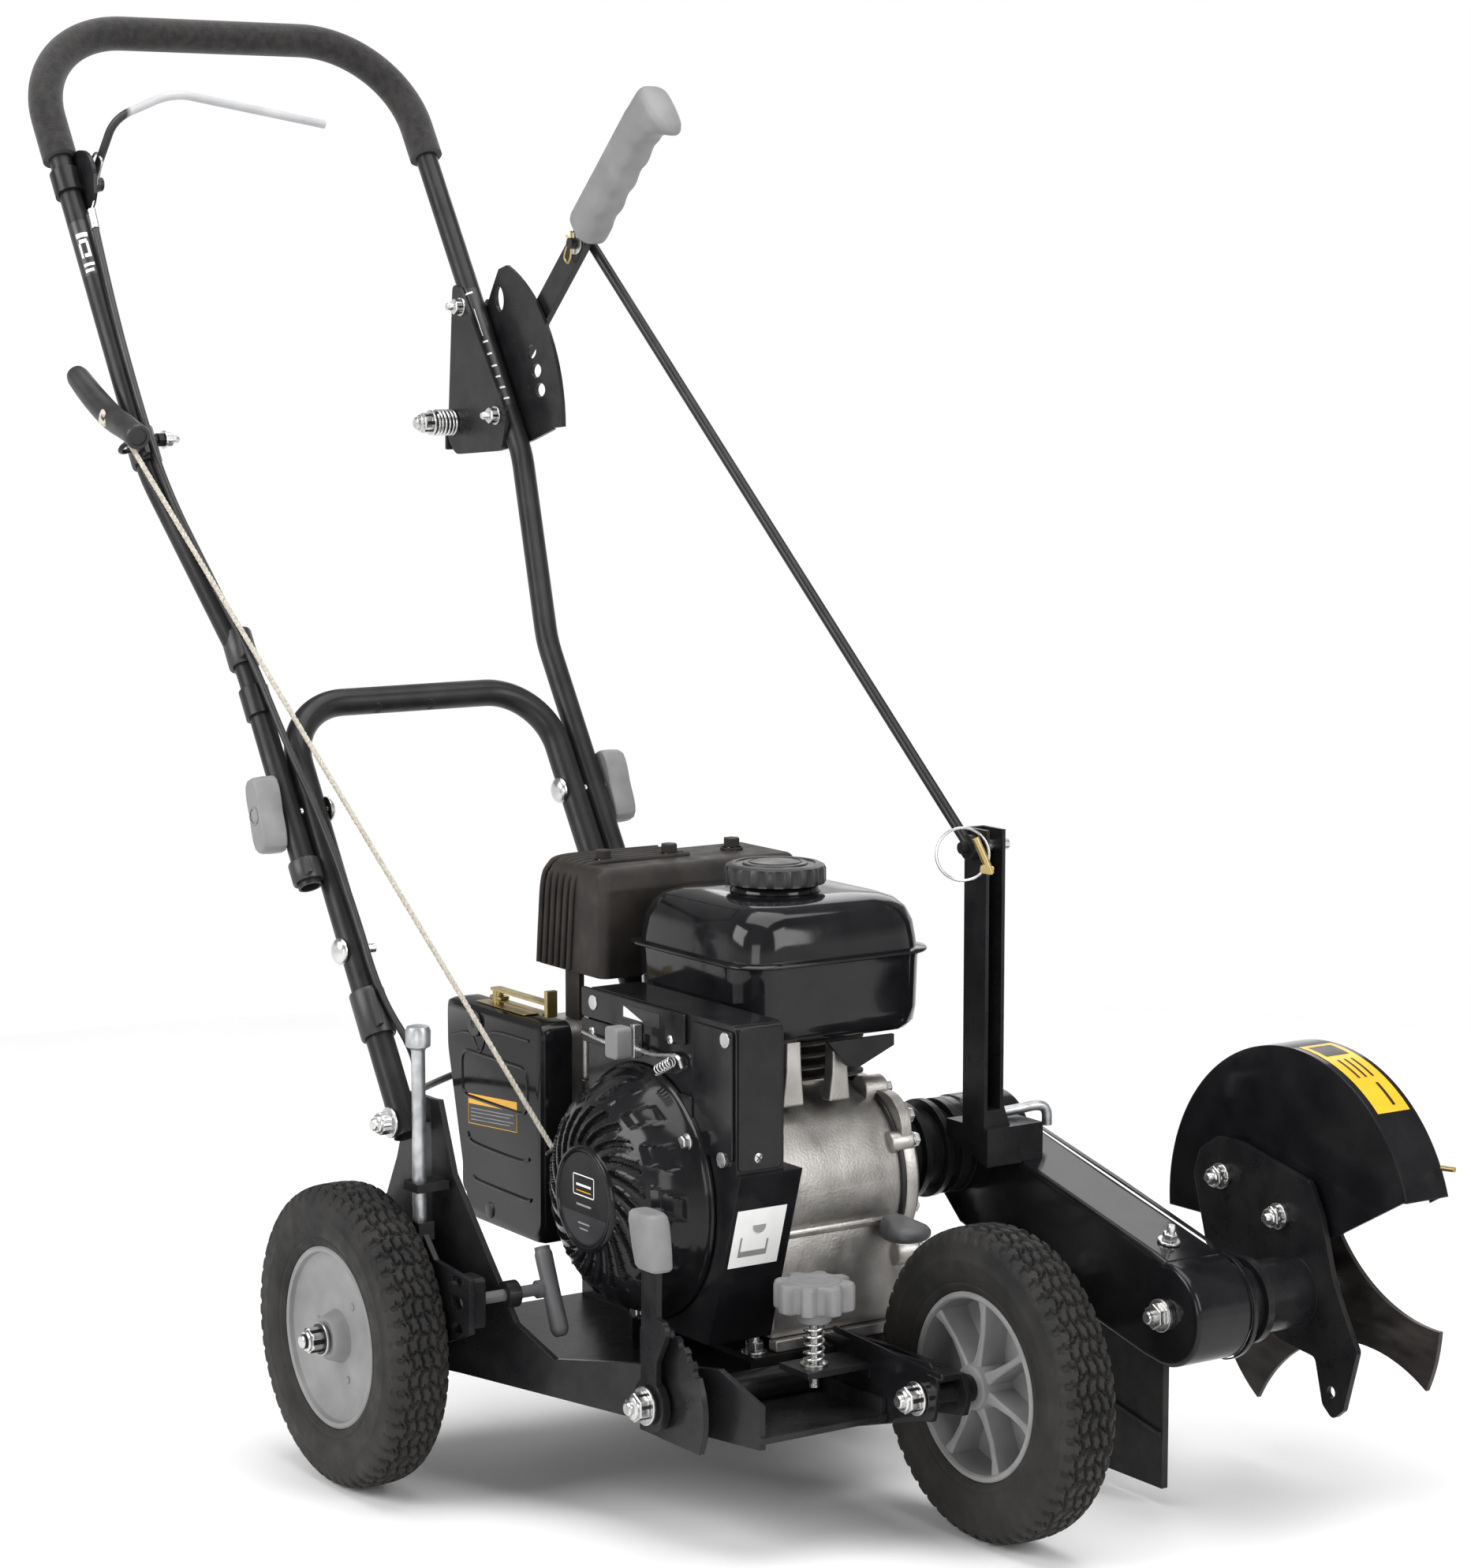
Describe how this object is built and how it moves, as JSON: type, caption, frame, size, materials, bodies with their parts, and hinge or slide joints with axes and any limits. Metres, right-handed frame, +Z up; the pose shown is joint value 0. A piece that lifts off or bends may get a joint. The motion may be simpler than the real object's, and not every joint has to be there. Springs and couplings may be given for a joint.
{
  "type": "lawn edger",
  "caption": "Walk-behind petrol lawn edger: engine on a wheeled steel frame, belt-driven star blade in a guard, long looped handle with stop bail and blade depth lever.",
  "frame": {"origin": "bottom centre of the whole object's box, on the ground", "axes": "+X is forward, towards the blade end; +Y is the operator's left, the blade side; +Z is up"},
  "size_m": [0.9296, 0.6108, 0.9935],
  "materials": {
    "paint_black": "semi-gloss powder coat",
    "paint_heatproof": "matt heat-resistant paint",
    "paint_tank": "gloss enamel",
    "coated_grey_rod": "smooth light coating",
    "shell_black": "gloss moulded",
    "knob_grey": "fine moulded texture",
    "rim_grey": "fine moulded texture",
    "tyre_rubber": "matt rubber with block tread",
    "foam_black": "dull closed-cell foam",
    "belt_rubber": "matt",
    "cast_aluminium": "as cast",
    "zinc_steel": "bright zinc",
    "dark_steel": "dark tempered",
    "yellow_zinc": "yellow passivated zinc",
    "rope_cord": "braided",
    "black_plastic": "satin",
    "filter_foam": "open-cell foam"
  },
  "bodies": {
    "chassis": {"frame": "paint_black", "lower_handle": "paint_black", "handle_bolts": "zinc_steel", "crankcase": "cast_aluminium", "crankcase_cover": "cast_aluminium", "head_pivot_housing": "cast_aluminium", "cylinder": "cast_aluminium", "engine_bolts": "zinc_steel", "blower_housing": "shell_black", "recoil_cover": "shell_black", "air_filter_cover": "shell_black", "air_filter_element": "filter_foam", "carburettor": "cast_aluminium", "muffler": "paint_heatproof", "muffler_guard": "paint_heatproof", "fuel_tank": "paint_tank", "starter_rope": "rope_cord", "stop_cable": "black_plastic"},
    "crank": {"crankshaft": "zinc_steel", "flywheel_fan": "cast_aluminium", "engine_pulley": "cast_aluminium"},
    "head": {"belt_case": "paint_black", "lift_arm": "paint_black", "drive_belt": "belt_rubber", "bearing_housing": "paint_black", "spindle_bearings": "zinc_steel", "blade_guard": "paint_black", "head_bolts": "zinc_steel", "debris_flap": "belt_rubber"},
    "blade_group": {"blade_spindle": "zinc_steel", "blade_pulley": "cast_aluminium", "blade": "dark_steel"},
    "upper": {"upper_handle": "paint_black", "foam_grip": "foam_black", "depth_quadrant": "paint_black", "upper_handle_fasteners": "zinc_steel"},
    "depth_lever_body": {"depth_lever": "paint_black", "depth_lever_grip": "knob_grey"},
    "rod": {"depth_rod": "paint_black"},
    "bail": {"bail_lever": "coated_grey_rod"},
    "rope_handle": {"starter_handle": "black_plastic"},
    "spool": {"recoil_spool": "black_plastic"},
    "curb": {"curb_wheel_carrier": "paint_black"},
    "pin": {"pull_pin": "dark_steel"},
    "arm": {"front_arm": "paint_black", "height_lever": "paint_black", "height_lever_grip": "knob_grey"},
    "star": {"star_knob": "knob_grey"},
    "wheel_rr": {"wheel_rim_rear_right": "rim_grey", "tyre_rear_right": "tyre_rubber"},
    "wheel_rl": {"wheel_rim_rear_left": "rim_grey", "tyre_rear_left": "tyre_rubber"},
    "wheel_f": {"wheel_rim_front": "rim_grey", "tyre_front": "tyre_rubber"},
    "wing_r": {"wing_knob_right": "knob_grey"},
    "wing_l": {"wing_knob_left": "knob_grey"},
    "throttle": {"throttle_lever": "knob_grey"},
    "choke": {"choke_lever": "yellow_zinc"},
    "cap": {"fuel_cap": "shell_black"},
    "dip": {"oil_dipstick": "knob_grey"}
  },
  "joints": [
    {"name": "crank_spin", "type": "hinge", "parent": "chassis", "child": "crank", "pos_m": [0.12483, -0.0566, 0.206], "axis": [0, 1, 0], "continuous": true},
    {"name": "head_tilt", "type": "hinge", "parent": "chassis", "child": "head", "pos_m": [0.12483, 0.1534, 0.206], "axis": [0, -1, 0], "range_deg": [-19.5, 10.5]},
    {"name": "blade_spin", "type": "hinge", "parent": "head", "child": "blade_group", "pos_m": [0.35583, 0.2874, 0.136], "axis": [0, 1, 0], "continuous": true},
    {"name": "handle_fold", "type": "hinge", "parent": "chassis", "child": "upper", "pos_m": [-0.10718, -0.1166, 0.44], "axis": [0, -1, 0], "range_deg": [0, 90], "deforming": ["starter_rope", "stop_cable"]},
    {"name": "depth_lever_swing", "type": "hinge", "parent": "upper", "child": "depth_lever_body", "pos_m": [-0.33718, 0.0504, 0.693], "axis": [0, -1, 0], "range_deg": [-21.5, 11.5]},
    {"name": "depth_rod_swing", "type": "hinge", "parent": "depth_lever_body", "child": "rod", "pos_m": [-0.19717, 0.0584, 0.826], "axis": [0, -1, 0], "range_deg": [-14, 26]},
    {"name": "bail_squeeze", "type": "hinge", "parent": "upper", "child": "bail", "pos_m": [-0.37917, -0.2466, 0.868], "axis": [0, -1, 0], "range_deg": [0, 24]},
    {"name": "starter_pull", "type": "slide", "parent": "upper", "child": "rope_handle", "axis": [-0.5193, -0.278, 0.8081], "range_m": [0, 0.45]},
    {"name": "recoil_turn", "type": "hinge", "parent": "chassis", "child": "spool", "pos_m": [0.12483, -0.1316, 0.206], "axis": [0, 1, 0], "range_deg": [0, 870]},
    {"name": "curb_height", "type": "slide", "parent": "chassis", "child": "curb", "axis": [0, 0, 1], "range_m": [-0.045, 0]},
    {"name": "curb_pin_pull", "type": "slide", "parent": "chassis", "child": "pin", "axis": [0, 1, 0], "range_m": [0, 0.008]},
    {"name": "front_height", "type": "hinge", "parent": "chassis", "child": "arm", "pos_m": [0.21882, -0.0866, 0.093], "axis": [0, 1, 0], "range_deg": [-8, 8]},
    {"name": "star_knob_turn", "type": "hinge", "parent": "arm", "child": "star", "pos_m": [0.25883, -0.0586, 0.14], "axis": [0, 0, 1], "range_deg": [0, 360]},
    {"name": "wheel_rear_right_spin", "type": "hinge", "parent": "curb", "child": "wheel_rr", "pos_m": [-0.00717, -0.2486, 0.1016], "axis": [0, 1, 0], "continuous": true},
    {"name": "wheel_rear_left_spin", "type": "hinge", "parent": "chassis", "child": "wheel_rl", "pos_m": [-0.00717, 0.1084, 0.1016], "axis": [0, 1, 0], "continuous": true},
    {"name": "wheel_front_spin", "type": "hinge", "parent": "arm", "child": "wheel_f", "pos_m": [0.32482, 0.0364, 0.1016], "axis": [0, 1, 0], "continuous": true},
    {"name": "wing_knob_right_turn", "type": "hinge", "parent": "chassis", "child": "wing_r", "pos_m": [-0.10718, -0.2566, 0.44], "axis": [0, 1, 0], "range_deg": [-180, 180]},
    {"name": "wing_knob_left_turn", "type": "hinge", "parent": "chassis", "child": "wing_l", "pos_m": [-0.10718, 0.0234, 0.44], "axis": [0, 1, 0], "range_deg": [-180, 180]},
    {"name": "throttle_slide", "type": "slide", "parent": "chassis", "child": "throttle", "axis": [1, 0, 0], "range_m": [-0.012, 0.012]},
    {"name": "choke_turn", "type": "hinge", "parent": "chassis", "child": "choke", "pos_m": [-0.05717, -0.1046, 0.308], "axis": [0, 0, 1], "range_deg": [-30, 0]},
    {"name": "fuel_cap_turn", "type": "hinge", "parent": "chassis", "child": "cap", "pos_m": [0.12083, 0.0054, 0.404], "axis": [0, 0, 1], "range_deg": [0, 90]},
    {"name": "dipstick_turn", "type": "hinge", "parent": "chassis", "child": "dip", "pos_m": [0.20583, 0.0414, 0.178], "axis": [1, 0, 0], "range_deg": [0, 360]}
  ],
  "couplings": [
    {"joint": "head_tilt", "follows": "depth_lever_swing", "ratio": 0.9036},
    {"joint": "depth_rod_swing", "follows": "depth_lever_swing", "ratio": -1.1895},
    {"joint": "blade_spin", "follows": "crank_spin", "ratio": 0.7021},
    {"joint": "recoil_turn", "follows": "starter_pull", "rad_per_m": 33.3}
  ]
}
